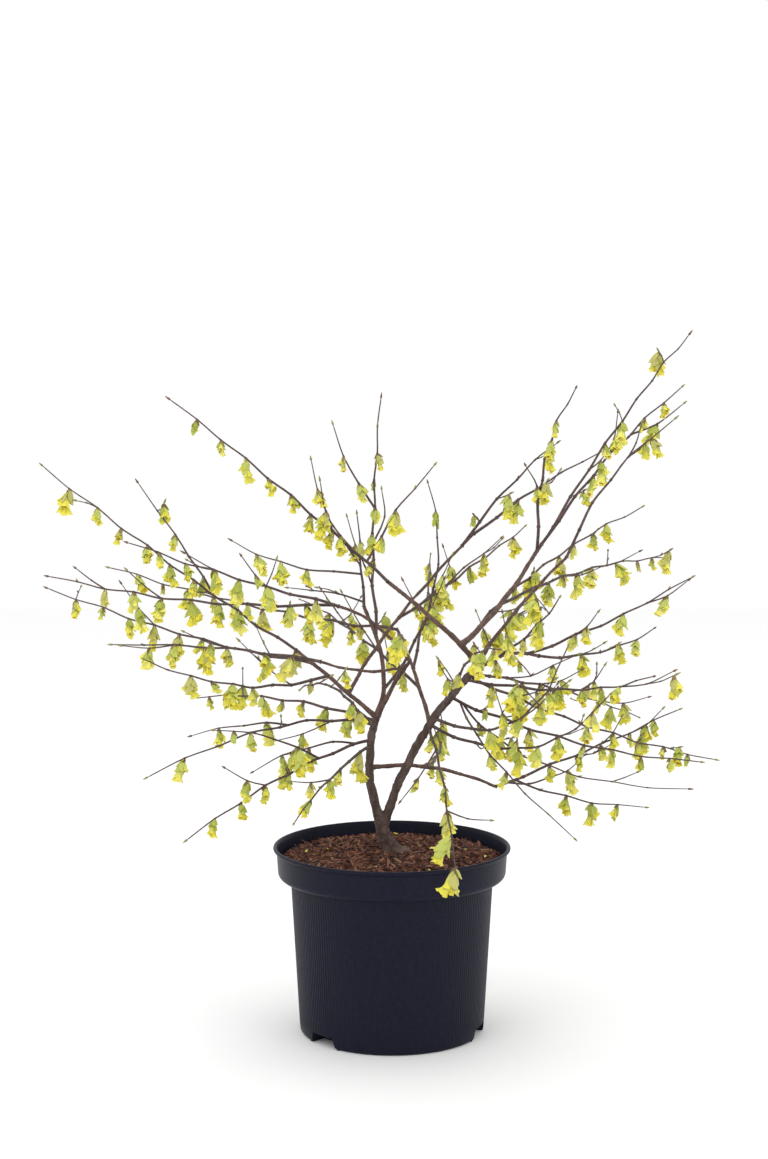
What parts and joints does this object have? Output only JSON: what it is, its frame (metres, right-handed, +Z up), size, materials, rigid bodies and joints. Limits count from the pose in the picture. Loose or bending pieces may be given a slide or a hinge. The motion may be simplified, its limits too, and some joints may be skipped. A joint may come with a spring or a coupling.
{
  "type": "potted buttercup winter hazel",
  "caption": "Bare spreading shrub with zigzag shoots hung with short pale yellow flower clusters, growing in a round black nursery pot",
  "frame": {"origin": "middle of the pot's flat underside", "axes": "+Z up along the pot's axis, -Y the front of the plant, +X to the right seen from the front"},
  "size_m": [0.81, 0.65, 0.819],
  "materials": {
    "pot": "satin",
    "potting_mix": "rough",
    "trunk_bark": "rough",
    "bough_bark": "rough",
    "twigs_and_flowers": "matte"
  },
  "bodies": {
    "root": {"arch_bough": "bough_bark", "arch_left_spray": "twigs_and_flowers", "back_bough": "bough_bark", "back_left_spray": "twigs_and_flowers", "back_low_spray": "twigs_and_flowers", "back_right_spray": "twigs_and_flowers", "back_spray": "twigs_and_flowers", "centre_bough": "bough_bark", "cross_back_spray": "twigs_and_flowers", "cross_bough": "bough_bark", "cross_far_spray": "twigs_and_flowers", "cross_high_spray": "twigs_and_flowers", "cut_stub_spray": "twigs_and_flowers", "front_drooping_spray": "twigs_and_flowers", "front_left_spray": "twigs_and_flowers", "front_right_spray": "twigs_and_flowers", "front_spray": "twigs_and_flowers", "high_left_bough": "bough_bark", "inner_bough": "bough_bark", "left_back_low_spray": "twigs_and_flowers", "left_back_spray": "twigs_and_flowers", "left_bottom_spray": "twigs_and_flowers", "left_bough": "bough_bark", "left_drooping_spray": "twigs_and_flowers", "left_far_spray": "twigs_and_flowers", "left_fork_spray": "twigs_and_flowers", "left_front_bottom_spray": "twigs_and_flowers", "left_front_spray": "twigs_and_flowers", "left_high_spray": "twigs_and_flowers", "left_level_spray": "twigs_and_flowers", "left_long_spray": "twigs_and_flowers", "left_stem": "trunk_bark", "low_right_bough": "bough_bark", "mid_left_bough": "bough_bark", "outer_bough": "bough_bark", "pot": "pot", "potting_mix": "potting_mix", "right_back_high_spray": "twigs_and_flowers", "right_back_level_spray": "twigs_and_flowers", "right_back_low_spray": "twigs_and_flowers", "right_back_spray": "twigs_and_flowers", "right_bottom_spray": "twigs_and_flowers", "right_bough": "bough_bark", "right_bud_spray": "twigs_and_flowers", "right_far_spray": "twigs_and_flowers", "right_front_low_spray": "twigs_and_flowers", "right_front_rising_spray": "twigs_and_flowers", "right_front_spray": "twigs_and_flowers", "right_front_top_spray": "twigs_and_flowers", "right_high_spray": "twigs_and_flowers", "right_low_spray": "twigs_and_flowers", "right_middle_spray": "twigs_and_flowers", "right_outer_spray": "twigs_and_flowers", "right_stem": "trunk_bark", "right_top_spray": "twigs_and_flowers", "tall_bough": "bough_bark", "top_left_spray": "twigs_and_flowers", "top_middle_spray": "twigs_and_flowers", "trunk": "trunk_bark"}
  },
  "joints": []
}
